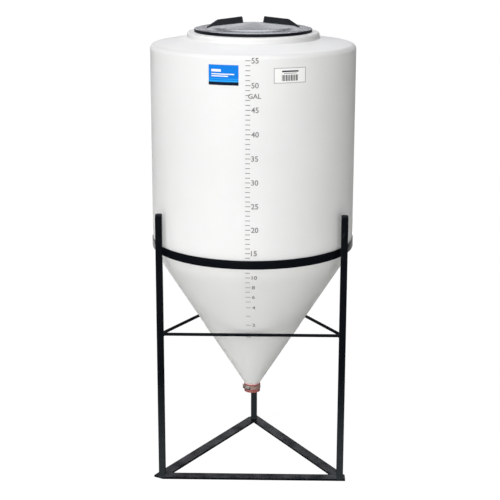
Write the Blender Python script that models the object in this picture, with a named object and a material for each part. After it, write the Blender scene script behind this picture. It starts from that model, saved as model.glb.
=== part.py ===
"""Cone-bottom plastic storage tank in a welded steel tripod stand.

Units are metres, +Z up, the floor at z = 0. The level scale faces -Y.
The tank's own axis is the line x = 0, y = TANK_Y.
"""

from math import atan, cos, pi, radians, sin, sqrt, tan

import bmesh
import bpy
from mathutils import Matrix, Vector

INCH = 0.0254
GAP = 0.0003

# Tank shell
TANK_RADIUS = 12.0 * INCH
SHELL_THICKNESS = 0.25 * INCH
CONE_APEX_HEIGHT = 8.57 * INCH
CONE_SLOPE = 0.63
CORNER_RADIUS = 8.0 * INCH
SHOULDER_START_HEIGHT = 51.4 * INCH
SHOULDER_RADIUS = 0.62 * INCH
SHOULDER_RISE = radians(9.5)
SEAM_LOW_HEIGHT = 17.05 * INCH
SEAM_HIGH_HEIGHT = 17.75 * INCH
SEAM_STEP = 0.045 * INCH
CONE_END_HEIGHT = 10.16 * INCH

# Neck ring and its opening
NECK_RADIUS = 7.7 * INCH
NECK_TOP_HEIGHT = 53.34 * INCH
NECK_EDGE_RADIUS = 0.28 * INCH
OPENING_RADIUS = 6.2 * INCH

# Lid
LID_RADIUS = 6.84 * INCH
LID_BOTTOM_HEIGHT = NECK_TOP_HEIGHT + GAP
LID_RIM_HEIGHT = 0.345 * INCH
LID_EDGE = 0.05 * INCH
LID_WALL = 0.16 * INCH
LID_DOME_RADIUS = 5.46 * INCH
LID_BREAK_RADIUS = 4.7 * INCH
LID_CROWN_HEIGHT = 54.41 * INCH
LID_CROWN_ROUND = 0.3 * INCH
LID_CROWN_SLOPE = 0.105
LID_SKIRT_RADIUS = 5.95 * INCH
LID_SKIRT_DEPTH = 0.5 * INCH
LID_TURN = radians(7.0)
RIDGE_COUNT = 3
RIDGE_HEIGHT = 0.045 * INCH
GRIP_THICKNESS = 0.26 * INCH
GRIP_INNER_X = 1.15 * INCH
GRIP_TOP_INNER = (1.28 * INCH, 55.07 * INCH)
GRIP_TOP_OUTER = (4.17 * INCH, 54.72 * INCH)
GRIP_END = (5.44 * INCH, 53.87 * INCH)

# Drain
SPIGOT_RADIUS = 0.85 * INCH
SPIGOT_BORE = 0.62 * INCH
SPIGOT_END_HEIGHT = 9.2 * INCH
HOSE_RADIUS = 0.98 * INCH
HOSE_LOW_HEIGHT = 8.95 * INCH
HOSE_HIGH_HEIGHT = 10.13 * INCH
CLAMP_LOW_HEIGHT = 9.37 * INCH
CLAMP_HIGH_HEIGHT = 9.82 * INCH
CLAMP_THICKNESS = 0.035 * INCH
HOUSING_ANGLE = radians(-118.0)
HOUSING_SIZE = Vector((0.56, 0.26, 0.5)) * INCH
SCREW_RADIUS = 0.11 * INCH
SCREW_LENGTH = 0.34 * INCH

# Stand
RING_INNER_RADIUS = 11.951 * INCH
RING_THICKNESS = 0.125 * INCH
RING_LOW_HEIGHT = 27.93 * INCH
RING_HIGH_HEIGHT = 28.93 * INCH
LEG_SIZE = 0.8 * INCH
LEG_EDGE = 0.06 * INCH
LEG_TOP_HEIGHT = 32.8 * INCH
CAP_HEIGHT = 0.2 * INCH
CAP_EDGE = 0.11 * INCH
FRONT_LEG_X = 10.76 * INCH
BAR_WIDTH = 1.4 * INCH
BAR_THICKNESS = 0.25 * INCH
BAR_OVERRUN = 0.4741 * INCH
ROD_RADIUS = 0.1875 * INCH
FRONT_ROD_HEIGHT = 18.4 * INCH
SIDE_ROD_HEIGHT = 18.2 * INCH
SIDE_ROD_X = 10.9 * INCH

ROUND_STEPS = 72
LID_STEPS = 48
SMALL_STEPS = 24
ROD_STEPS = 12

# Values that follow from the sizes above
LID_FLANGE_HEIGHT = LID_BOTTOM_HEIGHT + LID_RIM_HEIGHT
RING_RADIUS = RING_INNER_RADIUS + RING_THICKNESS
LEG_HALF = LEG_SIZE / 2
LEG_INNER_X = FRONT_LEG_X - LEG_HALF
FRONT_LEG_Y = -sqrt((RING_RADIUS + GAP) ** 2 - LEG_INNER_X ** 2) - LEG_HALF
REAR_LEG_Y = RING_RADIUS + GAP + LEG_HALF
BAR_CENTRE = LEG_HALF - FRONT_LEG_Y - BAR_WIDTH / 2
BAR_CROSSING = BAR_CENTRE * sqrt(3)
BAR_END_X = BAR_CROSSING + BAR_OVERRUN
# The furthest point back is the square end of the bar that passes the rear leg.
REAR_REACH = BAR_END_X * sin(radians(120)) - (BAR_CENTRE + BAR_WIDTH / 2) * cos(radians(120))
TANK_Y = (RING_RADIUS - REAR_REACH) / 2
CONE_ANGLE = atan(CONE_SLOPE)

MATERIALS = {
    "white_plastic": ((0.86, 0.87, 0.85), 0.38, 0.0),
    "black_plastic": ((0.02, 0.021, 0.024), 0.32, 0.0),
    "black_paint": ((0.008, 0.009, 0.011), 0.22, 0.0),
    "red_rubber": ((0.33, 0.035, 0.03), 0.5, 0.0),
    "stainless_steel": ((0.62, 0.62, 0.6), 0.28, 1.0),
}


def clear_scene():
    for thing in list(bpy.data.objects):
        bpy.data.objects.remove(thing, do_unlink=True)


def material(name):
    """One Principled material for each finish, made once."""
    found = bpy.data.materials.get(name)
    if found:
        return found
    colour, roughness, metallic = MATERIALS[name]
    made = bpy.data.materials.new(name)
    made.use_nodes = True
    shader = made.node_tree.nodes["Principled BSDF"]
    shader.inputs["Base Color"].default_value = (*colour, 1.0)
    shader.inputs["Roughness"].default_value = roughness
    shader.inputs["Metallic"].default_value = metallic
    return made


def add_object(name, bm, finish, parent, sharp=radians(30)):
    """Turn a bmesh into a shaded object with its faces pointing out."""
    bmesh.ops.recalc_face_normals(bm, faces=bm.faces)
    mesh = bpy.data.meshes.new(name)
    bm.to_mesh(mesh)
    bm.free()
    mesh.materials.append(material(finish))
    mesh.shade_smooth()
    mesh.set_sharp_from_angle(angle=sharp)
    made = bpy.data.objects.new(name, mesh)
    bpy.context.scene.collection.objects.link(made)
    made.parent = parent
    return made


def arc_points(centre_r, centre_z, radius, start, end, steps):
    """Points along an arc in the (r, z) half plane, angles in radians from +r."""
    points = []
    for i in range(steps + 1):
        angle = start + (end - start) * i / steps
        points.append((centre_r + radius * cos(angle), centre_z + radius * sin(angle)))
    return points


def turned_strip(name, outer, inner, finish, parent, start=0.0, sweep=2 * pi, steps=ROUND_STEPS):
    """A wall between two lines of equal length, turned about Z, closed at both ends.

    A part turn stops half a gap short of its two end planes.
    """
    whole = sweep > 2 * pi - 1e-6
    stations = steps if whole else steps + 1
    bm = bmesh.new()
    rows = []
    for i in range(stations):
        angle = start + sweep * i / steps
        spin = Matrix.Rotation(angle, 3, "Z")
        trim = 0.0 if whole else GAP / 2 * ((i == 0) - (i == steps))
        row = [[bm.verts.new(spin @ Vector((r, trim, z))) for r, z in line] for line in (outer, inner)]
        rows.append(row)
    last = len(outer) - 1
    for i in range(steps):
        a, b = rows[i], rows[(i + 1) % stations]
        for side in (0, 1):
            for k in range(last):
                bm.faces.new((a[side][k], a[side][k + 1], b[side][k + 1], b[side][k]))
        for k in (0, last):
            bm.faces.new((a[0][k], a[1][k], b[1][k], b[0][k]))
    if not whole:
        for row in (rows[0], rows[-1]):
            for k in range(last):
                bm.faces.new((row[0][k], row[0][k + 1], row[1][k + 1], row[1][k]))
    return add_object(name, bm, finish, parent)


def turned_solid(name, outline, finish, parent, steps=ROUND_STEPS):
    """A solid of revolution from an open outline that starts and ends on the axis."""
    bm = bmesh.new()
    top = bm.verts.new((0.0, 0.0, outline[0][1]))
    bottom = bm.verts.new((0.0, 0.0, outline[-1][1]))
    rings = []
    for r, z in outline[1:-1]:
        ring = []
        for i in range(steps):
            angle = 2 * pi * i / steps
            ring.append(bm.verts.new((r * cos(angle), r * sin(angle), z)))
        rings.append(ring)
    for i in range(steps):
        j = (i + 1) % steps
        bm.faces.new((top, rings[0][i], rings[0][j]))
        bm.faces.new((bottom, rings[-1][j], rings[-1][i]))
        for upper, lower in zip(rings, rings[1:]):
            bm.faces.new((upper[i], lower[i], lower[j], upper[j]))
    return add_object(name, bm, finish, parent)


def quarters(name, outer, inner, finish, parent):
    """Four separate quarter segments, centred on the front, right, back and left."""
    for side, middle in (("front", -90), ("right", 0), ("back", 90), ("left", 180)):
        start = radians(middle - 45)
        turned_strip(f"{name}_{side}", outer, inner, finish, parent, start, pi / 2, ROUND_STEPS // 4)


def cone_radius(height):
    return (height - CONE_APEX_HEIGHT) * CONE_SLOPE


def corner_centre():
    """Centre of the arc that rounds the wall into the cone."""
    sharp_height = CONE_APEX_HEIGHT + TANK_RADIUS / CONE_SLOPE
    return TANK_RADIUS - CORNER_RADIUS, sharp_height + CORNER_RADIUS * tan(CONE_ANGLE / 2)


def wall_lines():
    low = corner_centre()[1] + GAP
    high = SHOULDER_START_HEIGHT
    inside = TANK_RADIUS - SHELL_THICKNESS
    return [(TANK_RADIUS, low), (TANK_RADIUS, high)], [(inside, low), (inside, high)]


def cone_lines():
    """Outer and inner lines of the bottom, from the wall down to the drain."""
    centre_r, centre_z = corner_centre()
    steps = 4
    outer = arc_points(centre_r, centre_z, CORNER_RADIUS, 0.0, -CONE_ANGLE, steps)
    inner = arc_points(centre_r, centre_z, CORNER_RADIUS - SHELL_THICKNESS, 0.0, -CONE_ANGLE, steps)
    for height, step in (
        (SEAM_HIGH_HEIGHT + SEAM_STEP, 0.0),
        (SEAM_HIGH_HEIGHT, SEAM_STEP),
        (SEAM_LOW_HEIGHT, SEAM_STEP),
        (SEAM_LOW_HEIGHT - SEAM_STEP, 0.0),
    ):
        outer.append((cone_radius(height) + step, height))
        inner.append((cone_radius(height) - SHELL_THICKNESS / cos(CONE_ANGLE), height))
    outer.append((cone_radius(CONE_END_HEIGHT), CONE_END_HEIGHT))
    inner.append((cone_radius(CONE_END_HEIGHT) - SHELL_THICKNESS / cos(CONE_ANGLE), CONE_END_HEIGHT))
    return outer, inner


def shoulder_lines():
    """Rounded outer edge and the shallow slope up to the neck ring."""
    centre_r = TANK_RADIUS - SHOULDER_RADIUS
    centre_z = SHOULDER_START_HEIGHT + GAP
    end = pi / 2 - SHOULDER_RISE
    outer = arc_points(centre_r, centre_z, SHOULDER_RADIUS, 0.0, end, 4)
    inner = arc_points(centre_r, centre_z, SHOULDER_RADIUS - SHELL_THICKNESS, 0.0, end, 4)
    inner_end = NECK_RADIUS - SHELL_THICKNESS
    outer_end = shoulder_neck_height()
    outer.append((NECK_RADIUS, outer_end))
    outer.append((inner_end, outer_end))
    inner.append((NECK_RADIUS, outer_end - SHELL_THICKNESS))
    inner.append((inner_end, outer_end - SHELL_THICKNESS))
    return outer, inner


def shoulder_neck_height():
    """Height of the shoulder where it meets the neck ring."""
    end = pi / 2 - SHOULDER_RISE
    start_r = TANK_RADIUS - SHOULDER_RADIUS + SHOULDER_RADIUS * cos(end)
    start_z = SHOULDER_START_HEIGHT + GAP + SHOULDER_RADIUS * sin(end)
    return start_z + (start_r - NECK_RADIUS) * tan(SHOULDER_RISE)


def neck_lines():
    low = shoulder_neck_height() + GAP
    edge = NECK_EDGE_RADIUS
    outer = [(NECK_RADIUS, low)]
    outer += arc_points(NECK_RADIUS - edge, NECK_TOP_HEIGHT - edge, edge, 0.0, pi / 2, 3)
    outer.append((OPENING_RADIUS, NECK_TOP_HEIGHT))
    small = 0.03 * INCH
    wall = SHELL_THICKNESS
    inner = [(NECK_RADIUS - wall, low)]
    inner += arc_points(NECK_RADIUS - wall - small, NECK_TOP_HEIGHT - wall - small, small, 0.0, pi / 2, 3)
    inner.append((OPENING_RADIUS, NECK_TOP_HEIGHT - wall))
    return outer, inner


def dome_height(r):
    """A shallow cone with a rounded crown, which breaks into a steeper band down to the flange."""
    inner = min(r, LID_BREAK_RADIUS)
    height = LID_CROWN_HEIGHT - LID_CROWN_SLOPE * (sqrt(inner**2 + LID_CROWN_ROUND**2) - LID_CROWN_ROUND)
    share = (r - inner) / (LID_DOME_RADIUS - LID_BREAK_RADIUS)
    return height + (LID_FLANGE_HEIGHT - height) * share


def lid_outline():
    """Upper side from the crown out to the rim, then the hollow underside back in."""
    flange = LID_FLANGE_HEIGHT
    radii = (0.0, 1.5 * LID_CROWN_ROUND, GRIP_INNER_X, LID_BREAK_RADIUS, LID_DOME_RADIUS)
    outline = [(r, dome_height(r)) for r in radii]
    start = LID_DOME_RADIUS + LID_EDGE
    pitch = (LID_RADIUS - LID_EDGE - start) / RIDGE_COUNT
    for i in range(RIDGE_COUNT):
        at = start + pitch * i
        outline.append((at + 0.1 * pitch, flange))
        outline.append((at + 0.55 * pitch, flange + RIDGE_HEIGHT))
    outline.append((LID_RADIUS - LID_EDGE, flange))
    outline.append((LID_RADIUS, flange - LID_EDGE))
    outline.append((LID_RADIUS, LID_BOTTOM_HEIGHT))
    skirt_low = LID_BOTTOM_HEIGHT - LID_SKIRT_DEPTH
    skirt_inner = LID_SKIRT_RADIUS - LID_WALL
    outline.append((LID_SKIRT_RADIUS, LID_BOTTOM_HEIGHT))
    outline.append((LID_SKIRT_RADIUS, skirt_low))
    outline.append((skirt_inner, skirt_low))
    outline.append((skirt_inner, flange - LID_WALL))
    for r in (LID_DOME_RADIUS - LID_WALL, *reversed(radii[:-1])):
        outline.append((r, dome_height(r) - LID_WALL))
    return outline


def extrude_outline(points, depth_axis, depth):
    """A prism of the outline, centred on the plane of depth_axis = 0."""
    bm = bmesh.new()
    sides = []
    for offset in (-depth / 2, depth / 2):
        ring = []
        for a, b in points:
            place = {"y": (a, offset, b), "z": (a, b, offset + depth / 2)}[depth_axis]
            ring.append(bm.verts.new(place))
        sides.append(ring)
    count = len(points)
    for i in range(count):
        j = (i + 1) % count
        bm.faces.new((sides[0][i], sides[0][j], sides[1][j], sides[1][i]))
    bm.faces.new(sides[0])
    bm.faces.new(sides[1])
    return bm


def grip_bmesh(side):
    """Upright finger plate whose foot follows the lid's dome."""
    points = [(x, dome_height(x) + GAP) for x in (GRIP_INNER_X, LID_BREAK_RADIUS, GRIP_END[0])]
    points += [GRIP_END, GRIP_TOP_OUTER, GRIP_TOP_INNER]
    return extrude_outline([(side * x, z) for x, z in points], "y", GRIP_THICKNESS)


def add_bevel(made, width, segments=2):
    bevel = made.modifiers.new("edges", "BEVEL")
    bevel.width = width
    bevel.segments = segments
    bevel.limit_method = "ANGLE"
    bevel.angle_limit = radians(40)
    return bevel


def square_post_bmesh(size, low, high, edge):
    """A vertical square post with its four long edges rounded."""
    bm = bmesh.new()
    half = size / 2
    outline = []
    for cx, cy, start in ((1, 1, 0), (-1, 1, 90), (-1, -1, 180), (1, -1, 270)):
        for step in range(3):
            angle = radians(start + 45 * step)
            outline.append((cx * (half - edge) + edge * cos(angle), cy * (half - edge) + edge * sin(angle)))
    bottom = [bm.verts.new((x, y, low)) for x, y in outline]
    top = [bm.verts.new((x, y, high)) for x, y in outline]
    count = len(outline)
    for i in range(count):
        j = (i + 1) % count
        bm.faces.new((bottom[i], bottom[j], top[j], top[i]))
    bm.faces.new(bottom)
    bm.faces.new(top)
    return bm


def cap_bmesh(low):
    """A rounded plug cap, as wide as the post under it."""
    bm = bmesh.new()
    rings = []
    rows = 4
    for row in range(rows + 1):
        angle = pi / 2 * max(row - 1, 0) / (rows - 1)
        inset = CAP_EDGE * (1 - cos(angle))
        height = low if row == 0 else low + CAP_HEIGHT - CAP_EDGE * (1 - sin(angle))
        ring = []
        half = LEG_HALF - inset
        edge = LEG_EDGE
        for cx, cy, start in ((1, 1, 0), (-1, 1, 90), (-1, -1, 180), (1, -1, 270)):
            for step in range(3):
                turn = radians(start + 45 * step)
                x = cx * (half - edge) + edge * cos(turn)
                y = cy * (half - edge) + edge * sin(turn)
                ring.append(bm.verts.new((x, y, height)))
        rings.append(ring)
    count = len(rings[0])
    for lower, upper in zip(rings, rings[1:]):
        for i in range(count):
            j = (i + 1) % count
            bm.faces.new((lower[i], lower[j], upper[j], upper[i]))
    bm.faces.new(rings[0])
    bm.faces.new(rings[-1])
    return bm


def rod_between(name, start, end, start_normal, end_normal, parent):
    """A round rod whose two ends are cut flush with the faces that they meet."""
    along = (end - start).normalized()
    side = along.orthogonal().normalized()
    up = along.cross(side)
    bm = bmesh.new()
    ends = []
    for point, normal in ((start, start_normal), (end, end_normal)):
        ring = []
        for i in range(ROD_STEPS):
            angle = 2 * pi * i / ROD_STEPS
            spoke = (side * cos(angle) + up * sin(angle)) * ROD_RADIUS
            slide = -spoke.dot(normal) / along.dot(normal)
            ring.append(bm.verts.new(point + spoke + along * slide))
        ends.append(ring)
    for i in range(ROD_STEPS):
        j = (i + 1) % ROD_STEPS
        bm.faces.new((ends[0][i], ends[0][j], ends[1][j], ends[1][i]))
    bm.faces.new(ends[0])
    bm.faces.new(ends[1])
    return add_object(name, bm, "black_paint", parent)


def build_tank(axis):
    quarters("tank_wall", *wall_lines(), "white_plastic", axis)
    quarters("tank_cone", *cone_lines(), "white_plastic", axis)
    quarters("tank_shoulder", *shoulder_lines(), "white_plastic", axis)
    turned_strip("neck_ring", *neck_lines(), "white_plastic", axis)
    top = CONE_END_HEIGHT - GAP
    outer = [(SPIGOT_RADIUS, top), (SPIGOT_RADIUS, SPIGOT_END_HEIGHT)]
    inner = [(SPIGOT_BORE, top), (SPIGOT_BORE, SPIGOT_END_HEIGHT)]
    turned_strip("drain_spigot", outer, inner, "white_plastic", axis, steps=SMALL_STEPS)


def build_lid(axis):
    """The lid as it was last turned, so its two grips stand a little off the front plane."""
    turned_solid("lid_disc", lid_outline(), "black_plastic", axis, LID_STEPS)
    for name, side in (("lid_grip_left", -1), ("lid_grip_right", 1)):
        grip = add_object(name, grip_bmesh(side), "black_plastic", axis)
        grip.rotation_euler = (0.0, 0.0, LID_TURN)


def build_drain(axis):
    bore = SPIGOT_RADIUS + GAP
    outer = [(HOSE_RADIUS, HOSE_HIGH_HEIGHT), (HOSE_RADIUS, HOSE_LOW_HEIGHT)]
    inner = [(bore, HOSE_HIGH_HEIGHT), (bore, HOSE_LOW_HEIGHT)]
    turned_strip("drain_hose", outer, inner, "red_rubber", axis, steps=SMALL_STEPS)
    band = HOSE_RADIUS + GAP
    outer = [(band + CLAMP_THICKNESS, CLAMP_HIGH_HEIGHT), (band + CLAMP_THICKNESS, CLAMP_LOW_HEIGHT)]
    inner = [(band, CLAMP_HIGH_HEIGHT), (band, CLAMP_LOW_HEIGHT)]
    turned_strip("clamp_band", outer, inner, "stainless_steel", axis, steps=SMALL_STEPS)
    build_clamp_screw(axis, band + CLAMP_THICKNESS + GAP)


def build_clamp_screw(axis, foot):
    """The worm housing on the band, and the screw that runs through it."""
    middle = (CLAMP_LOW_HEIGHT + CLAMP_HIGH_HEIGHT) / 2
    outward = Vector((cos(HOUSING_ANGLE), sin(HOUSING_ANGLE), 0.0))
    holder = bpy.data.objects.new("clamp_holder", None)
    bpy.context.scene.collection.objects.link(holder)
    holder.parent = axis
    holder.location = outward * (foot + HOUSING_SIZE.y / 2) + Vector((0.0, 0.0, middle))
    holder.rotation_euler = (0.0, 0.0, HOUSING_ANGLE + pi / 2)
    half = HOUSING_SIZE / 2
    points = [(-half.x, -half.y), (half.x, -half.y), (half.x, half.y), (-half.x, half.y)]
    bm = extrude_outline(points, "z", HOUSING_SIZE.z)
    bmesh.ops.translate(bm, vec=(0.0, 0.0, -half.z), verts=bm.verts)
    add_bevel(add_object("clamp_housing", bm, "stainless_steel", holder), 0.05 * INCH)
    screw = bmesh.new()
    turn = Matrix.Rotation(pi / 2, 4, "Y")
    place = Matrix.Translation((-half.x - GAP - SCREW_LENGTH / 2, 0.0, 0.0)) @ turn
    bmesh.ops.create_cone(
        screw,
        cap_ends=True,
        segments=12,
        radius1=SCREW_RADIUS,
        radius2=SCREW_RADIUS,
        depth=SCREW_LENGTH,
        matrix=place,
    )
    add_object("clamp_screw", screw, "stainless_steel", holder)


def leg_places():
    return {
        "front_left": (-FRONT_LEG_X, FRONT_LEG_Y),
        "front_right": (FRONT_LEG_X, FRONT_LEG_Y),
        "rear": (0.0, REAR_LEG_Y),
    }


def build_legs(axis):
    low = BAR_THICKNESS + GAP
    for name, (x, y) in leg_places().items():
        post = square_post_bmesh(LEG_SIZE, low, LEG_TOP_HEIGHT, LEG_EDGE)
        leg = add_object(f"leg_{name}", post, "black_paint", axis)
        leg.location = (x, y, 0.0)
        plug = cap_bmesh(LEG_TOP_HEIGHT + GAP)
        cap = add_object(f"leg_cap_{name}", plug, "black_plastic", axis, radians(50))
        cap.location = (x, y, 0.0)


def base_bar_points():
    """Plan of the front bar: its left end meets the next bar, its right end runs past the leg."""
    near = BAR_CENTRE + BAR_WIDTH / 2
    far = BAR_CENTRE - BAR_WIDTH / 2
    reach = far - GAP
    points = [(BAR_END_X, -near), (BAR_END_X, -far)]
    for y in (-far, -near):
        points.append(((y / 2 - reach) / cos(radians(30)), y))
    return points


def build_base(axis):
    for name, turn in (("front", 0), ("right", 120), ("left", 240)):
        flat = extrude_outline(base_bar_points(), "z", BAR_THICKNESS)
        bar = add_object(f"base_bar_{name}", flat, "black_paint", axis)
        bar.rotation_euler = (0.0, 0.0, radians(turn))


def build_rods(axis):
    inner = LEG_INNER_X - GAP
    x_axis = Vector((1.0, 0.0, 0.0))
    y_axis = Vector((0.0, 1.0, 0.0))
    left = Vector((-inner, FRONT_LEG_Y, FRONT_ROD_HEIGHT))
    right = Vector((inner, FRONT_LEG_Y, FRONT_ROD_HEIGHT))
    rod_between("brace_rod_front", left, right, x_axis, x_axis, axis)
    for name, side in (("left", -1), ("right", 1)):
        front = Vector((side * SIDE_ROD_X, FRONT_LEG_Y + LEG_HALF + GAP, SIDE_ROD_HEIGHT))
        rear = Vector((side * (LEG_HALF + GAP), REAR_LEG_Y, SIDE_ROD_HEIGHT))
        rod_between(f"brace_rod_{name}", front, rear, y_axis, x_axis, axis)


def build_stand(axis):
    outer = [(RING_RADIUS, RING_HIGH_HEIGHT), (RING_RADIUS, RING_LOW_HEIGHT)]
    inner = [(RING_INNER_RADIUS, RING_HIGH_HEIGHT), (RING_INNER_RADIUS, RING_LOW_HEIGHT)]
    turned_strip("support_ring", outer, inner, "black_paint", axis)
    build_legs(axis)
    build_rods(axis)
    build_base(axis)


def main():
    clear_scene()
    axis = bpy.data.objects.new("tank_axis", None)
    bpy.context.scene.collection.objects.link(axis)
    axis.location = (0.0, TANK_Y, 0.0)
    build_tank(axis)
    build_lid(axis)
    build_drain(axis)
    build_stand(axis)


main()
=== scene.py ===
"""Looks of the cone-bottom storage tank in its tripod stand.

Lengths are metres unless a name says otherwise. The tank's axis is the line x = 0, y = TANK_Y.
"""

from math import asin, atan, ceil, cos, hypot, pi, radians, sin, sqrt, tan

import bmesh
import bpy
from mathutils import Matrix, Vector, noise


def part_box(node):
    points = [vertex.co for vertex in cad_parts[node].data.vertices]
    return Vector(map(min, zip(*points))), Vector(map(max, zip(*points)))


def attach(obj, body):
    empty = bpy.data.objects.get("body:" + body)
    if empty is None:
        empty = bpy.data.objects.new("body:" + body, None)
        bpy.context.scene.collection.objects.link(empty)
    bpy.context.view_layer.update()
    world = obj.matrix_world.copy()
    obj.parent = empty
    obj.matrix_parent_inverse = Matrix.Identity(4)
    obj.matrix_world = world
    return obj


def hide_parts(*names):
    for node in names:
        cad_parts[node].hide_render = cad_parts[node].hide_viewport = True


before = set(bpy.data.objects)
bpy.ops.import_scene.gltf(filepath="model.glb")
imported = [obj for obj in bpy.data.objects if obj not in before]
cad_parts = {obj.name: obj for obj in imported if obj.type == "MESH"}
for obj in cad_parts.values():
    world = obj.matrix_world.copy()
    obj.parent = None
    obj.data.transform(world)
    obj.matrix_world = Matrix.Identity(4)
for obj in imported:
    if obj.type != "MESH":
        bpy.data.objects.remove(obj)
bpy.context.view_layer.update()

INCH = 0.0254
STAND = "tank_and_stand"
LID = "lid"

# Camera, fitted to the tank's and the stand's edges in the 500 x 500 photograph
CAMERA_X = 0.08002
CAMERA_DISTANCE = 4.02570
CAMERA_HEIGHT = 1.75780
CAMERA_FOCAL_PIXELS = 1353.155
PHOTO_PIXELS = 500
SENSOR_WIDTH = 36.0
CAMERA_YAW = -0.02185
CAMERA_PITCH = 0.26007
CAMERA_ROLL = 0.00235

# Sizes read from the frame
RING_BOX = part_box("support_ring")
WALL_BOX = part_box("tank_wall_right")
LEG_BOXES = {name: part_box(f"leg_{name}") for name in ("front_left", "front_right", "rear")}
CAP_BOXES = {name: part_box(f"leg_cap_{name}") for name in LEG_BOXES}
HOSE_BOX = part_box("drain_hose")
BAND_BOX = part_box("clamp_band")
LID_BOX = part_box("lid_disc")
TANK_Y = (RING_BOX[0].y + RING_BOX[1].y) / 2

# Tank shell
TANK_RADIUS = WALL_BOX[1].x
SHELL_THICKNESS = 0.25 * INCH
CONE_APEX_HEIGHT = 8.57 * INCH
CONE_SLOPE = 0.63
CONE_ANGLE = atan(CONE_SLOPE)
CORNER_RADIUS = 8.0 * INCH
SHOULDER_START_HEIGHT = WALL_BOX[1].z
SHOULDER_RADIUS = 0.62 * INCH
SHOULDER_RISE = radians(9.5)
SEAM_LOW_HEIGHT = 17.05 * INCH
SEAM_HIGH_HEIGHT = 17.75 * INCH
SEAM_STEP = 0.045 * INCH
CONE_END_HEIGHT = 10.16 * INCH
NECK_RADIUS = 7.7 * INCH
NECK_TOP_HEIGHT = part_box("neck_ring")[1].z
OPENING_RADIUS = 6.2 * INCH
SPIGOT_RADIUS = 0.85 * INCH
SPIGOT_BORE = 0.62 * INCH
SPIGOT_END_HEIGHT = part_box("drain_spigot")[0].z

# Level scale: one mark for each gallon, even on the wall and spreading down the cone
MARK_15_HEIGHT = 29.79 * INCH
MARK_PITCH = 0.5395 * INCH
CONE_MARKS = (17.86, 19.74, 21.12, 22.41, 23.28, 23.98, 24.72, 25.38, 26.10, 26.76, 27.39)
FIRST_EVEN_MARK = 14
LAST_MARK = 55
SCALE_LEFT = -0.60 * INCH
SCALE_RIGHT = -0.07 * INCH
SCALE_RIGHT_LONG = -0.03 * INCH
MARK_THICKNESS = 0.08 * INCH
MARK_LIFT = 0.00015
NUMBER_LEFT = 0.05 * INCH
NUMBER_HEIGHT = 0.62 * INCH
STROKE_GAIN = 0.00022

# Stand, with its weld beads; a bead's middle stands off its face by a share of its radius
LEG_CORNER = 0.085 * INCH
LEG_BEVEL = 0.02 * INCH
RING_THICKNESS = 0.125 * INCH
RING_EASE = 0.035 * INCH
ROD_RADIUS = 0.1875 * INCH
BEAD_RADIUS = 0.06 * INCH
FOOT_BEAD_RADIUS = 0.065 * INCH
BEAD_RISE = 0.3

# Clamp; the housing's size is along the band, outwards and up
CLAMP_THICKNESS = 0.035 * INCH
HOUSING_ANGLE = radians(-118.0)
HOUSING_SIZE = Vector((0.56, 0.26, 0.5)) * INCH

# The gap left between pieces that touch
HAIR = 0.0003

# Steps round the axis
SHELL_STEPS = 192
LID_STEPS = 160
HOSE_STEPS = 96
CLAMP_STEPS = 144

BLACK_COAT = (0.003, 0.004, 0.006)

# Strengths of the surround: three shapes and the rest in reflections, and its plain face
STRIP_LIGHT = 2.0
UNDER_LIGHT = 0.24
BOX_LIGHT = 5.3
REST_LIGHT = 0.012
PLAIN_LIGHT = 1.06


def obj_from_bmesh(name, bm, finishes, sharp=radians(35)):
    """Link a new object made from the bmesh, smooth but for edges sharper than the angle."""
    mesh = bpy.data.meshes.new(name)
    bm.to_mesh(mesh)
    bm.free()
    for finish in finishes:
        mesh.materials.append(finish)
    mesh.shade_smooth()
    mesh.set_sharp_from_angle(angle=sharp)
    made = bpy.data.objects.new(name, mesh)
    bpy.context.scene.collection.objects.link(made)
    return made


def finish_piece(made, body, slot, *nodes):
    """Ride on the body and stand for the CAD nodes. The slot is not used."""
    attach(made, body)
    if nodes:
        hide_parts(*nodes)


def polar(angle, r, z):
    """A point about the tank's axis, at an angle that turns from +X towards the back."""
    return Vector((r * cos(angle), TANK_Y + r * sin(angle), z))


def filleted(corners, closed=False, step=radians(6)):
    """Points of a line whose corners (r, z, radius) are rounded by arcs."""
    points = []
    count = len(corners)
    for i, (r, z, radius) in enumerate(corners):
        here = Vector((r, z))
        if radius == 0 or (not closed and i in (0, count - 1)):
            points.append((r, z))
            continue
        before = Vector(corners[i - 1][:2]) - here
        after = Vector(corners[(i + 1) % count][:2]) - here
        before.normalize()
        after.normalize()
        half = before.angle(after) / 2
        reach = radius / tan(half)
        centre = here + (before + after).normalized() * radius / sin(half)
        start = here + before * reach - centre
        turn = start.angle_signed(here + after * reach - centre)
        pieces = max(2, ceil(abs(turn) / step))
        for k in range(pieces + 1):
            spoke = start.copy()
            spoke.rotate(Matrix.Rotation(-turn * k / pieces, 2))
            points.append(tuple(centre + spoke))
    return points


def spin(bm, outline, steps, lengths, closed=True):
    """Turn an outline of (r, z) points about the tank's axis, with UVs; returns the faces, step by step."""
    layer = bm.loops.layers.uv.new("UVMap")
    columns = []
    for i in range(steps):
        columns.append([bm.verts.new(polar(2 * pi * i / steps, r, z)) for r, z in outline])
    count = len(outline)
    girth = 2 * pi * max(r for r, _ in outline)
    strips = []
    for i in range(steps):
        j = (i + 1) % steps
        strip = []
        for k in range(count if closed else count - 1):
            m = (k + 1) % count
            face = bm.faces.new((columns[i][k], columns[j][k], columns[j][m], columns[i][m]))
            places = ((i, k), (i + 1, k), (i + 1, k + 1), (i, k + 1))
            for loop, (u, v) in zip(face.loops, places):
                loop[layer].uv = (girth * u / steps, lengths[v])
            strip.append(face)
        strips.append(strip)
    bmesh.ops.recalc_face_normals(bm, faces=bm.faces)
    return strips


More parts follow.
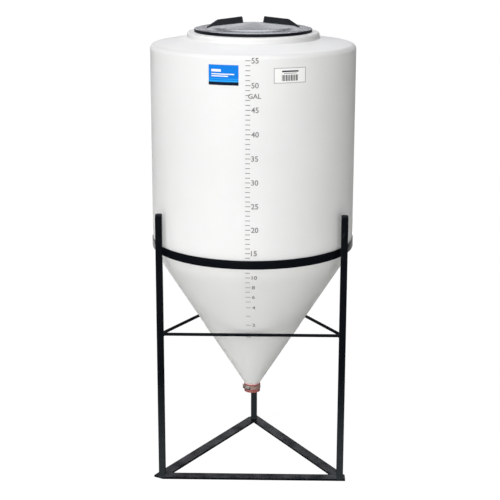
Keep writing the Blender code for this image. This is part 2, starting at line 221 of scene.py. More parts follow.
def lathe(name, outline, finish, steps=SHELL_STEPS, closed=True):
    """A new turned object, with arc-length UVs."""
    lengths = [0.0]
    for a, b in zip(outline, outline[1:] + outline[:1]):
        lengths.append(lengths[-1] + hypot(a[0] - b[0], a[1] - b[1]))
    bm = bmesh.new()
    spin(bm, outline, steps, lengths, closed)
    return obj_from_bmesh(name, bm, [finish])


def new_material(name, constants):
    """A Principled material with constants set on its shader; returns it, its tree and its shader."""
    made = bpy.data.materials.new(name)
    made.use_nodes = True
    tree = made.node_tree
    shader = tree.nodes["Principled BSDF"]
    for key, value in constants.items():
        shader.inputs[key].default_value = value
    return made, tree, shader


def add_node(tree, kind, **values):
    """A new node with its properties and its inputs set by name."""
    node = tree.nodes.new(kind)
    for key, value in values.items():
        if key in node.inputs:
            node.inputs[key].default_value = value
        else:
            setattr(node, key, value)
    return node


def link(tree, source, target):
    """Join an output to an input."""
    tree.links.new(source, target)


def noise_fac(tree, scale, detail=2.0, stretch=None, source="Object"):
    """Noise in the space of a texture coordinate, stretched along an axis if wanted."""
    coords = add_node(tree, "ShaderNodeTexCoord")
    out = coords.outputs[source]
    if stretch:
        mapping = add_node(tree, "ShaderNodeMapping", Scale=stretch)
        link(tree, out, mapping.inputs["Vector"])
        out = mapping.outputs["Vector"]
    made = add_node(tree, "ShaderNodeTexNoise", Scale=scale, Detail=detail)
    link(tree, out, made.inputs["Vector"])
    return made.outputs["Fac"]


def remap(tree, source, low, high, out_low, out_high):
    """Stretch one range of a number over another, held at both ends."""
    ranges = {"From Min": low, "From Max": high, "To Min": out_low, "To Max": out_high}
    made = add_node(tree, "ShaderNodeMapRange", **ranges)
    link(tree, source, made.inputs["Value"])
    return made.outputs["Result"]


def combine(tree, operation, a, b):
    """Join two numbers by a maths node; either may be a socket."""
    made = add_node(tree, "ShaderNodeMath", operation=operation)
    for value, slot in ((a, made.inputs[0]), (b, made.inputs[1])):
        if isinstance(value, float):
            slot.default_value = value
        else:
            link(tree, value, slot)
    return made.outputs[0]


def multiply(tree, a, b):
    """Product of two numbers."""
    return combine(tree, "MULTIPLY", a, b)


def total(tree, a, b):
    """Sum of two numbers."""
    return combine(tree, "ADD", a, b)


def band(tree, source, low, high, fade):
    """One inside the range, falling to zero over the fade on both sides."""
    rise = remap(tree, source, low - fade, low, 0.0, 1.0)
    fall = remap(tree, source, high, high + fade, 1.0, 0.0)
    return multiply(tree, rise, fall)


def mix_colours(tree, factor, a, b):
    """Blend from colour a to colour b; either may be a socket."""
    made = add_node(tree, "ShaderNodeMix", data_type="RGBA")
    link(tree, factor, made.inputs["Factor"])
    for value, slot in ((a, made.inputs[6]), (b, made.inputs[7])):
        if isinstance(value, tuple):
            slot.default_value = (*value, 1.0)
        else:
            link(tree, value, slot)
    return made.outputs[2]


def bumps(tree, shader, *layers):
    """Chain bump layers of (height socket, distance in metres, strength) into the shader."""
    last = None
    for height, distance, strength in layers:
        bump = add_node(tree, "ShaderNodeBump", Strength=strength, Distance=distance)
        link(tree, height, bump.inputs["Height"])
        if last:
            link(tree, last, bump.inputs["Normal"])
        last = bump.outputs["Normal"]
    link(tree, last, shader.inputs["Normal"])


def axes(tree, kind="ShaderNodeTexCoord", output="Object"):
    """The X, Y and Z of a node's vector; the object's own are metres in the part's frame."""
    source = add_node(tree, kind)
    split = add_node(tree, "ShaderNodeSeparateXYZ")
    link(tree, source.outputs[output], split.inputs["Vector"])
    return split.outputs


def normal_z(tree):
    """How far the surface faces up."""
    return axes(tree, "ShaderNodeNewGeometry", "Normal")["Z"]


def coat(tree, shader, colour, rough):
    """Wire the colour and the roughness into the shader."""
    link(tree, colour, shader.inputs["Base Color"])
    link(tree, rough, shader.inputs["Roughness"])


def white_polyethylene():
    """Rotationally moulded: milky, satin, uneven in thickness, an orange-peel skin, and a painted highlight
    that pales the upward-facing shoulder.
    """
    made, tree, shader = new_material("white_polyethylene", {
        "Subsurface Weight": 0.3, "Subsurface Radius": (1.0, 0.95, 0.85), "Subsurface Scale": 0.005,
    })
    cloudy = remap(tree, noise_fac(tree, 2.6, 3.0), 0.35, 0.65, 0.0, 1.0)
    colour = mix_colours(tree, cloudy, (0.74, 0.742, 0.74), (0.772, 0.774, 0.771))
    # Painted highlight: faces that look straight up, the shoulder's top, get a paler colour for the light
    # falling on them from above.
    upward = band(tree, normal_z(tree), 0.98, 0.99, 0.008)
    colour = mix_colours(tree, upward, colour, (0.835, 0.836, 0.832))
    specks = remap(tree, noise_fac(tree, 240.0, 1.0), 0.74, 0.80, 0.0, 0.35)
    colour = mix_colours(tree, specks, colour, (0.52, 0.51, 0.48))
    coat(tree, shader, colour, remap(tree, noise_fac(tree, 14.0, 3.0), 0.3, 0.7, 0.42, 0.52))
    waves = (noise_fac(tree, 5.0, 1.0, (1.0, 1.0, 0.35)), 0.004, 0.35)
    bumps(tree, shader, waves, (noise_fac(tree, 420.0, 2.0), 0.00025, 0.35))
    return made


def mark_ink():
    """Grey level marks, moulded into the skin."""
    made, tree, shader = new_material("mark_ink", {"Roughness": 0.5})
    worn = remap(tree, noise_fac(tree, 160.0, 3.0), 0.4, 0.75, 0.0, 0.5)
    colour = mix_colours(tree, worn, (0.17, 0.155, 0.155), (0.40, 0.38, 0.375))
    link(tree, colour, shader.inputs["Base Color"])
    bumps(tree, shader, (noise_fac(tree, 420.0, 2.0), 0.0001, 0.4))
    return made


def black_paint(name, gloss, dull, most_dust, low=BLACK_COAT):
    """Black paint on steel: orange peel, thin dust on what faces up, small scuffs, and a colour given for low
    down.
    """
    made, tree, shader = new_material(name, {"Specular IOR Level": gloss})
    upward = remap(tree, normal_z(tree), 0.5, 1.0, 0.0, 1.0)
    dust = remap(tree, noise_fac(tree, 38.0, 4.0), 0.42, 0.75, 0.25, 1.0)
    amount = multiply(tree, multiply(tree, upward, dust), most_dust)
    # Towards the bottom the colour shifts to the given low colour, lighter for the legs.
    depth = remap(tree, axes(tree)["Z"], 0.08, 0.34, 1.0, 0.0)
    base = mix_colours(tree, depth, BLACK_COAT, low)
    colour = mix_colours(tree, amount, base, (0.12, 0.126, 0.135))
    scuffs = remap(tree, noise_fac(tree, 95.0, 5.0, (1.0, 1.0, 0.25)), 0.70, 0.78, 0.0, 0.5)
    colour = mix_colours(tree, scuffs, colour, (0.035, 0.035, 0.038))
    coat(tree, shader, colour, remap(tree, noise_fac(tree, 22.0, 3.0), 0.3, 0.7, dull, dull + 0.12))
    peel = (noise_fac(tree, 28.0, 2.0), 0.0012, 0.18)
    bumps(tree, shader, peel, (noise_fac(tree, 330.0, 2.0), 0.0002, 0.30))
    return made


def moulded_black(name, gloss, grain, smooth, coarse):
    """Black moulded plastic with a fine grain."""
    made, tree, shader = new_material(name, {
        "Specular IOR Level": gloss, "Specular Tint": (0.90, 0.93, 1.0, 1.0),
    })
    cloudy = remap(tree, noise_fac(tree, 30.0, 3.0), 0.35, 0.7, 0.0, 1.0)
    colour = mix_colours(tree, cloudy, (0.004, 0.005, 0.008), (0.009, 0.010, 0.014))
    coat(tree, shader, colour, remap(tree, noise_fac(tree, 60.0, 3.0), 0.3, 0.7, smooth, coarse))
    waves = (noise_fac(tree, 14.0, 1.0), 0.0012, 0.08)
    bumps(tree, shader, waves, (noise_fac(tree, 900.0, 2.0), 0.00012, grain))
    return made


def red_rubber():
    """Dull red hose rubber with fine lines from the extruder, and a painted highlight that pales its upper
    lip.
    """
    made, tree, shader = new_material("red_hose_rubber", {
        "Subsurface Weight": 0.12, "Subsurface Radius": (1.0, 0.3, 0.2), "Subsurface Scale": 0.002,
    })
    bloom = remap(tree, noise_fac(tree, 90.0, 4.0), 0.4, 0.75, 0.0, 1.0)
    colour = mix_colours(tree, bloom, (0.29, 0.075, 0.068), (0.40, 0.15, 0.14))
    # Painted highlight: above the clamp the rubber pales towards the top edge, where the light catches the
    # lip.
    lit_lip_low, lit_lip_high = BAND_BOX[1].z + 0.12 * INCH, HOSE_BOX[1].z - 0.02 * INCH
    lip = remap(tree, axes(tree)["Z"], lit_lip_low, lit_lip_high, 0.0, 0.95)
    colour = mix_colours(tree, lip, colour, (0.84, 0.62, 0.63))
    coat(tree, shader, colour, remap(tree, noise_fac(tree, 70.0, 2.0), 0.3, 0.7, 0.42, 0.58))
    lines = (noise_fac(tree, 1500.0, 1.0, (1.0, 1.0, 0.02)), 0.0002, 0.4)
    bumps(tree, shader, lines, (noise_fac(tree, 700.0, 2.0), 0.0001, 0.4))
    return made


def stainless(name, dark, light):
    """Rolled stainless strip, brushed along its length."""
    made, tree, shader = new_material(name, {"Metallic": 0.7, "Anisotropic": 0.4})
    grain = noise_fac(tree, 60.0, 3.0, (1.0, 60.0, 1.0), "UV")
    coat(tree, shader, mix_colours(tree, grain, dark, light), remap(tree, grain, 0.3, 0.7, 0.34, 0.48))
    bumps(tree, shader, (grain, 0.00008, 0.35))
    return made


def label_stock(name, colour, roughness):
    """Coated label paper or the ink on it."""
    made, tree, shader = new_material(name, {"Roughness": roughness, "Specular IOR Level": 0.15})
    fine = remap(tree, noise_fac(tree, 600.0, 2.0), 0.3, 0.7, 0.0, 1.0)
    darker = tuple(0.93 * c for c in colour)
    link(tree, mix_colours(tree, fine, darker, colour), shader.inputs["Base Color"])
    bumps(tree, shader, (noise_fac(tree, 45.0, 2.0), 0.0004, 0.25))
    return made


MATERIALS = {
    "poly": white_polyethylene(),
    "ink": mark_ink(),
    "paint": black_paint("gloss_paint", 0.24, 0.15, 0.05, (0.021, 0.025, 0.028)),
    "bar_paint": black_paint("bar_paint", 0.14, 0.15, 0.03),
    "rod_paint": black_paint("satin_paint", 0.04, 0.38, 0.01),
    "lid": moulded_black("lid_plastic", 0.75, 0.03, 0.22, 0.27),
    "grip": moulded_black("grip_plastic", 0.35, 0.05, 0.30, 0.42),
    "rim": moulded_black("rim_plastic", 0.12, 0.05, 0.35, 0.45),
    "cap": moulded_black("cap_plastic", 0.12, 0.4, 0.45, 0.55),
    "rubber": red_rubber(),
    # Stainless grey, with a pinkish-brown cast that is a painted reflection of the red hose around it.
    "steel": stainless("stainless_strip", (0.58, 0.41, 0.36), (0.80, 0.60, 0.52)),
    "saddle": stainless("stainless_saddle", (0.26, 0.24, 0.22), (0.44, 0.42, 0.40)),
    # The screw's near-black colour is painted shade: its head sits in shadow at the housing's end.
    "screw": stainless("stainless_screw", (0.03, 0.03, 0.028), (0.08, 0.078, 0.072)),
    "blue": label_stock("label_blue_ink", (0.0, 0.195, 0.72), 0.35),
    "sky": label_stock("label_sky_ink", (0.02, 0.34, 0.86), 0.35),
    "navy": label_stock("label_navy_ink", (0.004, 0.010, 0.030), 0.3),
    "paper": label_stock("label_paper", (0.88, 0.88, 0.87), 0.35),
    "grey": label_stock("label_grey_ink", (0.24, 0.24, 0.25), 0.45),
    "dark": label_stock("label_dark_ink", (0.035, 0.035, 0.04), 0.45),
}


def shoulder_height(r):
    """The shoulder's slope, as a line carried on past its rounded ends."""
    end = pi / 2 - SHOULDER_RISE
    start_r = TANK_RADIUS - SHOULDER_RADIUS * (1 - cos(end))
    return SHOULDER_START_HEIGHT + SHOULDER_RADIUS * sin(end) + (start_r - r) * tan(SHOULDER_RISE)


def cone_radius(height):
    """Radius of the cone's outside at a height."""
    return (height - CONE_APEX_HEIGHT) * CONE_SLOPE


def shell_outline():
    """Closed outline of the one-piece tank: down the outside, and back up the inside."""
    wall = SHELL_THICKNESS
    slant = wall / cos(CONE_ANGLE)
    inner_neck = NECK_RADIUS - wall
    inside = TANK_RADIUS - wall
    under = wall / cos(SHOULDER_RISE)
    lip = 0.045 * INCH

    def seam(height, out=0.0):
        """A corner of the seam, on the cone or standing off it."""
        return cone_radius(height) + out, height, 0.03 * INCH

    corners = [
        (OPENING_RADIUS, NECK_TOP_HEIGHT, lip),
        (NECK_RADIUS, NECK_TOP_HEIGHT, 0.28 * INCH),
        (NECK_RADIUS, shoulder_height(NECK_RADIUS), 0.14 * INCH),
        (TANK_RADIUS, shoulder_height(TANK_RADIUS), SHOULDER_RADIUS),
        (TANK_RADIUS, CONE_APEX_HEIGHT + TANK_RADIUS / CONE_SLOPE, CORNER_RADIUS),
        seam(SEAM_HIGH_HEIGHT + SEAM_STEP),
        seam(SEAM_HIGH_HEIGHT, SEAM_STEP),
        seam(SEAM_LOW_HEIGHT, SEAM_STEP),
        seam(SEAM_LOW_HEIGHT - SEAM_STEP),
        (cone_radius(CONE_END_HEIGHT), CONE_END_HEIGHT, 0.04 * INCH),
        (SPIGOT_RADIUS, CONE_END_HEIGHT, 0.03 * INCH),
        (SPIGOT_RADIUS, SPIGOT_END_HEIGHT, lip),
        (SPIGOT_BORE, SPIGOT_END_HEIGHT, lip),
        (SPIGOT_BORE, CONE_APEX_HEIGHT + (SPIGOT_BORE + slant) / CONE_SLOPE, 0.1 * INCH),
        (inside, CONE_APEX_HEIGHT + (inside + slant) / CONE_SLOPE, CORNER_RADIUS - wall),
        (inside, shoulder_height(inside) - under, SHOULDER_RADIUS - wall),
        (inner_neck, shoulder_height(inner_neck) - under, 0.1 * INCH),
        (inner_neck, NECK_TOP_HEIGHT - wall, 0.05 * INCH),
        (OPENING_RADIUS, NECK_TOP_HEIGHT - wall, lip),
    ]
    return filleted(corners, closed=True)


def build_shell():
    """The tank as one skin, in place of its CAD segments."""
    parts = ("tank_wall", "tank_cone", "tank_shoulder")
    nodes = [f"{part}_{side}" for part in parts for side in ("front", "right", "back", "left")]
    shell = lathe("tank_shell", shell_outline(), MATERIALS["poly"])
    finish_piece(shell, STAND, "white_plastic", *nodes, "neck_ring", "drain_spigot")


def corner_tangents():
    """Centre of the arc between wall and cone, and the height where the cone starts."""
    sharp = CONE_APEX_HEIGHT + TANK_RADIUS / CONE_SLOPE
    centre_z = sharp + CORNER_RADIUS * tan(CONE_ANGLE / 2)
    return TANK_RADIUS - CORNER_RADIUS, centre_z, centre_z - CORNER_RADIUS * sin(CONE_ANGLE)


def skin(height):
    """Radius of the outside at a height, and how far it leans from upright."""
    centre_r, centre_z, cone_top = corner_tangents()
    if height >= centre_z:
        return TANK_RADIUS, 0.0
    if height >= cone_top:
        lean = asin((centre_z - height) / CORNER_RADIUS)
        return centre_r + CORNER_RADIUS * cos(lean), lean
    return cone_radius(height), CONE_ANGLE


def wrap(point, height):
    """Place a flat (across, up, out) point on the skin, with across = 0 on the front line."""
    across, up, out = point
    middle_r, lean = skin(height)
    z = height + up * cos(lean)
    r, lean = skin(z)
    angle = across / middle_r
    reach = r + out / cos(lean)
    return Vector((reach * sin(angle), TANK_Y - reach * cos(angle), z))


def add_plate(bm, left, right, low, high, height, lift, thick, index=0):
    """A thin plate that follows the skin, between two arc lengths and two heights."""
    widest_step = 0.25 * INCH
    steps = max(2, ceil((right - left) / widest_step))
    section = ((low, lift), (low, lift + thick), (high, lift + thick), (high, lift))
    rings = []
    for i in range(steps + 1):
        across = left + (right - left) * i / steps
        rings.append([wrap((across, up, out), height) for up, out in section])
    for face in add_loft(bm, rings):
        face.material_index = index


def mark_height(gallons):
    """Height of a mark: read off on the cone, at an even pitch above it."""
    if gallons <= len(CONE_MARKS):
        return CONE_MARKS[gallons - 1] * INCH
    return MARK_15_HEIGHT + (gallons - 15) * MARK_PITCH


def build_marks():
    """A tick for each gallon, longer at every fifth and at the even ones that have a number."""
    bm = bmesh.new()
    half = MARK_THICKNESS / 2
    for gallons in (*range(1, len(CONE_MARKS) + 1), *range(FIRST_EVEN_MARK, LAST_MARK + 1)):
        is_long = gallons % 5 == 0 or gallons in (2, 4, 6, 8)
        right = SCALE_RIGHT_LONG if is_long else SCALE_RIGHT
        add_plate(bm, SCALE_LEFT, right, -half, half, mark_height(gallons), 0.0, MARK_LIFT)
    made = obj_from_bmesh("level_marks", bm, [MATERIALS["ink"]])
    finish_piece(made, STAND, "white_plastic")


def text_bmesh(text, size):
    """Flat filled letters, their left edge at x = 0 and centred on y = 0."""
    curve = bpy.data.curves.new("lettering", "FONT")
    curve.body = text
    curve.size = size
    curve.offset = STROKE_GAIN
    curve.resolution_u = 4
    holder = bpy.data.objects.new("lettering", curve)
    bpy.context.scene.collection.objects.link(holder)
    bpy.context.view_layer.update()
    mesh = holder.to_mesh()
    bm = bmesh.new()
    bm.from_mesh(mesh)
    holder.to_mesh_clear()
    bpy.data.objects.remove(holder)
    bpy.data.curves.remove(curve)
    xs = [v.co.x for v in bm.verts]
    ys = [v.co.y for v in bm.verts]
    middle = (min(ys) + max(ys)) / 2
    bmesh.ops.translate(bm, vec=(-min(xs), -middle, 0.0), verts=bm.verts)
    return bm, max(ys) - min(ys)


def add_text(target, text, height, cap_height, left):
    """Raise the letters slightly and lay them on the skin at a height."""
    bm, tall = text_bmesh(text, cap_height)
    ratio = cap_height / tall
    extruded = bmesh.ops.extrude_face_region(bm, geom=bm.faces[:])
    raised = [v for v in extruded["geom"] if isinstance(v, bmesh.types.BMVert)]
    for vert in raised:
        vert.co.z += MARK_LIFT
    for vert in bm.verts:
        across, up, out = vert.co
        vert.co = wrap((left + across * ratio, up * ratio, out), height)
    bmesh.ops.recalc_face_normals(bm, faces=bm.faces)
    mesh = bpy.data.meshes.new("lettering")
    bm.to_mesh(mesh)
    bm.free()
    target.from_mesh(mesh)
    bpy.data.meshes.remove(mesh)


def build_numbers():
    """Numbers beside every fifth mark on the wall and every second on the cone, and the unit."""
    bm = bmesh.new()
    small = 0.9 * NUMBER_HEIGHT
    for gallons in range(15, LAST_MARK + 1, 5):
        add_text(bm, str(gallons), mark_height(gallons), NUMBER_HEIGHT, NUMBER_LEFT)
    for gallons in range(2, 11, 2):
        add_text(bm, str(gallons), mark_height(gallons), small, NUMBER_LEFT + 0.08 * INCH)
    add_text(bm, "GAL", mark_height(48) - 0.09 * INCH, small, SCALE_LEFT + 0.3 * INCH)
    made = obj_from_bmesh("level_numbers", bm, [MATERIALS["ink"]])
    finish_piece(made, STAND, "white_plastic")


def build_label(name, place, sheet, ink, keys, prints):
    """A base sheet at (left, right, low, high) inches, and on it plates of ink in shares of its size."""
    left, right, low, high = (length * INCH for length in place)
    middle = (low + high) / 2
    width = right - left
    tall = high - low
    foot = low - middle
    bm = bmesh.new()
    add_plate(bm, left, right, foot, high - middle, middle, 0.0, sheet)
    for x0, x1, z0, z1, index in prints:
        sides = left + x0 * width, left + x1 * width
        add_plate(bm, *sides, foot + z0 * tall, foot + z1 * tall, middle, sheet, ink, index)
    finishes = [MATERIALS[key] for key in keys]
    finish_piece(obj_from_bmesh(name, bm, finishes), STAND, "white_plastic")


def build_blue_label():
    """Plain blue label: a dark foot, two light bands above it and three white bars."""
    prints = [
        (0.0, 1.0, 0.0, 0.16, 2),
        (0.0, 1.0, 0.16, 0.24, 1),
        (0.0, 1.0, 0.29, 0.33, 1),
        (0.10, 0.42, 0.66, 0.78, 3),
        (0.10, 0.86, 0.52, 0.57, 3),
        (0.10, 0.66, 0.42, 0.47, 3),
    ]
    place = (-4.75, -1.34, 48.65, 50.87)
    build_label("label_blue", place, 0.00022, 0.00005, ("blue", "sky", "navy", "paper"), prints)


def build_white_label():
    """Plain white label: a thin grey frame, a dark line, a grey line and a row of bars."""
    edge = 0.016
    prints = [
        (0.0, 1.0, 0.0, 2 * edge, 1),
        (0.0, 1.0, 1 - 2 * edge, 1.0, 1),
        (0.0, edge, 0.0, 1.0, 1),
        (1 - edge, 1.0, 0.0, 1.0, 1),
        (0.24, 0.76, 0.72, 0.82, 2),
        (0.30, 0.70, 0.62, 0.66, 1),
    ]
    count, first, span = 13, 0.24, 0.52
    for i in range(count):
        start = first + span * i / count
        prints.append((start, start + span / count * (0.45 + 0.3 * (i % 2)), 0.14, 0.54, 2))
    build_label("label_white", (2.52, 6.23, 48.88, 50.55), 0.0002, 0.00004, ("paper", "grey", "dark"), prints)


# Lid
LID_RADIUS = LID_BOX[1].x
LID_BOTTOM_HEIGHT = NECK_TOP_HEIGHT + HAIR
LID_RIM_HEIGHT = 0.345 * INCH
LID_FLANGE_HEIGHT = LID_BOTTOM_HEIGHT + LID_RIM_HEIGHT
LID_EDGE = 0.05 * INCH
LID_WALL = 0.16 * INCH
LID_DOME_RADIUS = 5.46 * INCH
LID_BREAK_RADIUS = 4.7 * INCH
LID_CROWN_HEIGHT = LID_BOX[1].z
LID_CROWN_ROUND = 0.3 * INCH
LID_CROWN_SLOPE = 0.105
LID_CROWN_LINE = 2.2 * INCH
LID_HUB = 0.02 * INCH
LID_SKIRT_RADIUS = 5.95 * INCH
LID_SKIRT_DEPTH = 0.5 * INCH
LID_TURN = radians(7.0)
RIDGE_COUNT = 3
RIDGE_HEIGHT = 0.045 * INCH
GRIP_THICKNESS = 0.26 * INCH
GRIP_ROUNDING = 0.045 * INCH
GRIP_INNER_X = 1.15 * INCH
GRIP_TOP_INNER = (1.28 * INCH, 55.07 * INCH)
GRIP_TOP_OUTER = (4.17 * INCH, 54.72 * INCH)
GRIP_END = (5.44 * INCH, 53.87 * INCH)


def dome_height(r):
    """A shallow cone with a rounded crown, which breaks into a steeper band down to the flange."""
    inner = min(r, LID_BREAK_RADIUS)
    height = LID_CROWN_HEIGHT - LID_CROWN_SLOPE * (sqrt(inner**2 + LID_CROWN_ROUND**2) - LID_CROWN_ROUND)
    share = (r - inner) / (LID_DOME_RADIUS - LID_BREAK_RADIUS)
    return height + (LID_FLANGE_HEIGHT - height) * share


def dome_line(reach):
    """Corners (r, z, fillet) of the dome's line, from near the crown out to the given radius."""
    steps = 14
    corners = [(LID_HUB, dome_height(LID_HUB), 0.0)]
    for i in range(1, steps):
        r = LID_HUB + (LID_CROWN_LINE - LID_HUB) * (i / steps) ** 1.5
        corners.append((r, dome_height(r), 0.0))
    corners.append((LID_BREAK_RADIUS, dome_height(LID_BREAK_RADIUS), 1.6 * INCH))
    corners.append((reach, dome_height(reach), 0.0))
    return corners


def lid_outline():
    """From near the crown out over the dome and the ridges, round the rim and skirt, and back in below."""
    flange, bottom, edge = LID_FLANGE_HEIGHT, LID_BOTTOM_HEIGHT, LID_EDGE
    crest = flange + RIDGE_HEIGHT
    corners = dome_line(LID_DOME_RADIUS)
    start = LID_DOME_RADIUS + edge
    pitch = (LID_RADIUS - edge - start) / RIDGE_COUNT
    for i in range(RIDGE_COUNT):
        for share, z in ((0.06, flange), (0.40, crest), (0.66, crest)):
            corners.append((start + (i + share) * pitch, z, 0.12 * pitch))
    skirt_low = bottom - LID_SKIRT_DEPTH
    skirt_inner = LID_SKIRT_RADIUS - LID_WALL
    corners += [
        (LID_RADIUS - 1.6 * edge, flange, 0.6 * edge),
        (LID_RADIUS, flange, 0.9 * edge),
        (LID_RADIUS, bottom, 0.4 * edge),
        (LID_SKIRT_RADIUS, bottom, 0.5 * edge),
        (LID_SKIRT_RADIUS, skirt_low, 0.5 * edge),
        (skirt_inner, skirt_low, 0.5 * edge),
        (skirt_inner, flange - LID_WALL, 0.5 * edge),
    ]
    for r, z, radius in reversed(dome_line(LID_DOME_RADIUS - LID_WALL)):
        corners.append((r, z - LID_WALL, radius))
    return filleted(corners, step=radians(2))


def build_lid():
    """The turned cap, closed at its crown, above and below, with a duller finish on its upright faces."""
    disc = lathe("lid_cap", lid_outline(), MATERIALS["lid"], LID_STEPS, closed=False)
    disc.data.materials.append(MATERIALS["rim"])
    bm = bmesh.new()
    bm.from_mesh(disc.data)
    bmesh.ops.holes_fill(bm, edges=[e for e in bm.edges if e.is_boundary], sides=0)
    bmesh.ops.recalc_face_normals(bm, faces=bm.faces)
    for face in bm.faces:
        if abs(face.normal.z) < 0.5:
            face.material_index = 1
    bm.to_mesh(disc.data)
    bm.free()
    finish_piece(disc, LID, "black_plastic", "lid_disc")
    for name, side in (("left", -1), ("right", 1)):
        build_grip(name, side)


def build_grip(name, side):
    """Upright finger plate with rounded edges, its foot on the dome."""
    outline = [(x, dome_height(x) + HAIR) for x in (GRIP_INNER_X, LID_BREAK_RADIUS, GRIP_END[0])]
    outline += [GRIP_END, GRIP_TOP_OUTER, GRIP_TOP_INNER]
    bm = bmesh.new()
    half = GRIP_THICKNESS / 2
    add_loft(bm, [[(side * x, offset, z) for x, z in outline] for offset in (-half, half)])
    rounded = [e for e in bm.edges if e.calc_face_angle() > radians(25)]
    bmesh.ops.bevel(bm, geom=rounded, offset=GRIP_ROUNDING, segments=4, affect="EDGES", clamp_overlap=True)
    turn = Matrix.Translation((0.0, TANK_Y, 0.0)) @ Matrix.Rotation(LID_TURN, 4, "Z")
    bmesh.ops.transform(bm, matrix=turn, verts=bm.verts)
    made = obj_from_bmesh(f"lid_wing_{name}", bm, [MATERIALS["grip"]], radians(60))
    made.visible_glossy = False
    finish_piece(made, LID, "black_plastic", f"lid_grip_{name}")


def rounded_square(half, edge):
    """Plan of a square tube, its corners rounded."""
    pieces = 4
    outline = []
    for cx, cy, start in ((1, 1, 0), (-1, 1, 90), (-1, -1, 180), (1, -1, 270)):
        for k in range(pieces + 1):
            angle = radians(start + 90 * k / pieces)
            outline.append((cx * (half - edge) + edge * cos(angle), cy * (half - edge) + edge * sin(angle)))
    return outline


def add_loft(bm, rings):
    """Skin a stack of equal rings and close both ends; returns the faces, the last ring's own at the end."""
    rows = [[bm.verts.new(point) for point in ring] for ring in rings]
    count = len(rows[0])
    faces = []
    for low, high in zip(rows, rows[1:]):
        for i in range(count):
            j = (i + 1) % count
            faces.append(bm.faces.new((low[i], low[j], high[j], high[i])))
    faces.append(bm.faces.new(list(reversed(rows[0]))))
    faces.append(bm.faces.new(rows[-1]))
    bmesh.ops.recalc_face_normals(bm, faces=faces)
    return faces


def loft(name, rings, finish):
    """A new object that skins a stack of equal rings."""
    bm = bmesh.new()
    add_loft(bm, rings)
    return obj_from_bmesh(name, bm, [finish])


def leg_plan(box):
    """Centre and half width of a leg."""
    low, high = box
    return (low.x + high.x) / 2, (low.y + high.y) / 2, (high.x - low.x) / 2


def spokes(along, radius, count):
    """Equal arms at right angles to a direction, all the way round it."""
    across = along.orthogonal().normalized()
    up = along.cross(across)
    turns = [2 * pi * k / count for k in range(count)]
    return [(across * cos(turn) + up * sin(turn)) * radius for turn in turns]


def square_ring(x, y, half, edge, z):
    """A square tube's plan at a place and a height."""
    return [(x + px, y + py, z) for px, py in rounded_square(half, edge)]


def build_legs():
    """Square tubes with their plugs; like the ring, they cast no shadow on the translucent tank."""
    for name, box in LEG_BOXES.items():
        x, y, half = leg_plan(box)
        low, high = box[0].z, box[1].z
        inner = half - LEG_BEVEL
        levels = [(inner, low), (half, low + LEG_BEVEL), (half, high - LEG_BEVEL), (inner, high)]
        rings = [square_ring(x, y, size, LEG_CORNER, z) for size, z in levels]
        made = loft(f"tube_{name}", rings, MATERIALS["paint"])
        made.visible_shadow = False
        finish_piece(made, STAND, "black_paint", f"leg_{name}")
        build_cap(name, x, y, half)


def build_cap(name, x, y, half):
    """Rounded plug: a short upright flange and a domed top."""
    low, high = CAP_BOXES[name]
    ease, flange, rounding, steps = 0.015 * INCH, 0.02 * INCH, 0.17 * INCH, 8
    rings = [
        square_ring(x, y, half - ease, LEG_CORNER, low.z),
        square_ring(x, y, half, LEG_CORNER, low.z + ease),
    ]
    for k in range(steps + 1):
        angle = pi / 2 * k / steps
        inset = rounding * (1 - cos(angle))
        z = high.z - (high.z - low.z - flange) * (1 - sin(angle))
        rings.append(square_ring(x, y, half - inset, min(LEG_CORNER + 0.3 * inset, half - inset), z))
    made = loft(f"plug_{name}", rings, MATERIALS["cap"])
    made.visible_shadow = False
    finish_piece(made, STAND, "black_plastic", f"leg_cap_{name}")


def build_ring():
    """Rolled flat bar with eased edges."""
    outer = RING_BOX[1].x
    inner = outer - RING_THICKNESS
    low, high = RING_BOX[0].z, RING_BOX[1].z
    corners = [
        (outer, high, RING_EASE),
        (outer, low, RING_EASE),
        (inner, low, RING_EASE),
        (inner, high, 0.4 * RING_EASE),
    ]
    made = lathe("ring_band", filleted(corners, True, radians(22)), MATERIALS["paint"])
    made.visible_shadow = False
    finish_piece(made, STAND, "black_paint", "support_ring")


def node_plan(node):
    """The flat outline of a bar's top face, in order, read from the CAD node."""
    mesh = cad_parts[node].data
    high = max(v.co.z for v in mesh.vertices)
    places = {(round(v.co.x, 5), round(v.co.y, 5)) for v in mesh.vertices if v.co.z > high - 1e-4}
    middle = Vector((sum(p[0] for p in places), sum(p[1] for p in places))) / len(places)
    return sorted((Vector(p) for p in places), key=lambda p: (p - middle).angle_signed(Vector((1, 0)), 0.0))


def build_bars():
    """Flat base bars with eased edges, on the plans of their CAD nodes."""
    for side in ("front", "right", "left"):
        node = f"base_bar_{side}"
        low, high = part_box(node)
        plan = node_plan(node)
        bm = bmesh.new()
        add_loft(bm, [[(p.x, p.y, z) for p in plan] for z in (low.z, high.z)])
        bmesh.ops.bevel(bm, geom=bm.edges[:], offset=0.02 * INCH, segments=3, affect="EDGES")
        made = obj_from_bmesh(f"flat_bar_{side}", bm, [MATERIALS["bar_paint"]], radians(60))
        finish_piece(made, STAND, "black_paint", node)


def node_axis(node):
    """The two end centres of a straight rod, read from the CAD node's end rings."""
    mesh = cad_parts[node].data
    places = [v.co.copy() for v in mesh.vertices]
    middle = sum(places, Vector()) / len(places)
    far = max(places, key=lambda p: (p - middle).length)
    ends = []
    for sign in (1, -1):
        side = [p for p in places if sign * (p - middle).dot(far - middle) > 0]
        ends.append(Vector([(min(values) + max(values)) / 2 for values in zip(*side)]))
    return ends


def cut_flush(end, along, normal, arm):
    """Where a line along the rod, an arm away from its axis, meets the face at the rod's end."""
    return end + arm - along * (arm.dot(normal) / along.dot(normal))


